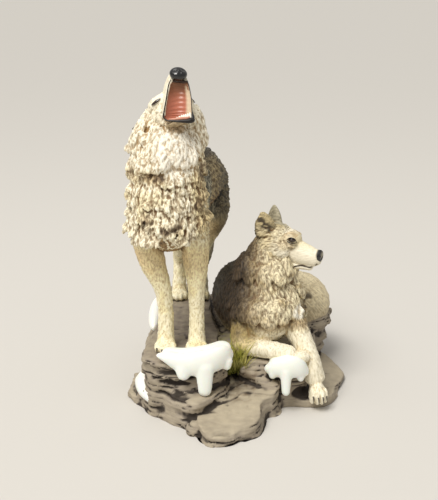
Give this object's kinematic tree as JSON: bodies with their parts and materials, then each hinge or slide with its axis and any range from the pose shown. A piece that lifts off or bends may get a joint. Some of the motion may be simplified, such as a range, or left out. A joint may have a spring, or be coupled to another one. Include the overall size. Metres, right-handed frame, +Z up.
{
  "type": "wolf figurine",
  "caption": "Painted cast figurine of a howling wolf standing on a snowy layered rock beside a resting wolf, for a shelf or table.",
  "frame": {"origin": "on the flat underside, near its middle", "axes": "+Z up, +X to the viewer's right and +Y away from the viewer, as the picture shows the front"},
  "size_m": [0.1566, 0.1959, 0.2309],
  "materials": {
    "painted_resin": "matt hand-painted casting resin"
  },
  "bodies": {
    "root": {"wolf_figurine": "painted_resin"}
  },
  "joints": []
}
